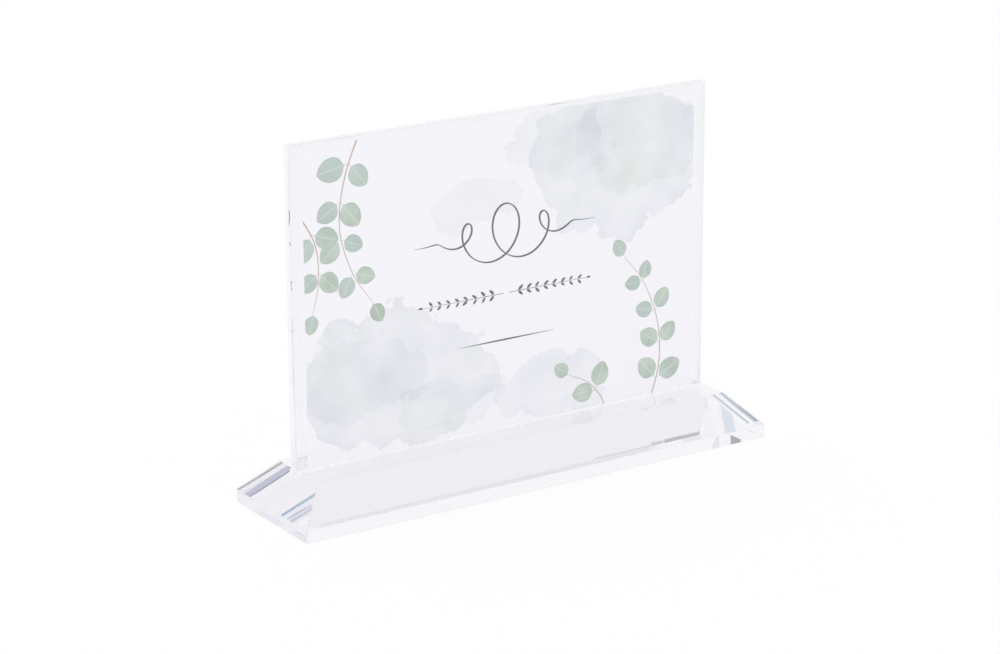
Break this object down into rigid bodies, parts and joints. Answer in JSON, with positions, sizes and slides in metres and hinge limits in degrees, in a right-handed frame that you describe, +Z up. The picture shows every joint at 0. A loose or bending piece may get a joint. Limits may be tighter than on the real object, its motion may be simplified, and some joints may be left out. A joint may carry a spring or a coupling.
{
  "type": "tabletop sign holder",
  "caption": "Clear acrylic sign holder: a sandwich panel of two sheets holds a printed landscape card and plugs into a thick bevelled base block.",
  "frame": {"origin": "middle of the base block's underside, which is what the holder stands on", "axes": "+Z up, +X along the base block and the panel, -Y is the front, which the print faces"},
  "size_m": [0.25, 0.063, 0.1683],
  "materials": {
    "clear_block": "polished clear acrylic",
    "clear_sheet": "polished clear acrylic",
    "printed_card": "matt printed card"
  },
  "bodies": {
    "base": {"base_block": "clear_block"},
    "panel": {"front_sheet": "clear_sheet", "rear_sheet": "clear_sheet", "left_edge_strip": "clear_sheet", "right_edge_strip": "clear_sheet", "card_stop_strip": "clear_sheet"},
    "card": {"printed_card": "printed_card"}
  },
  "joints": [
    {"name": "panel_lift", "type": "slide", "parent": "base", "child": "panel", "axis": [0, 0, 1], "range_m": [0, 0.005]},
    {"name": "card_slide", "type": "slide", "parent": "panel", "child": "card", "axis": [0, 0, 1], "range_m": [0, 0.151]}
  ]
}
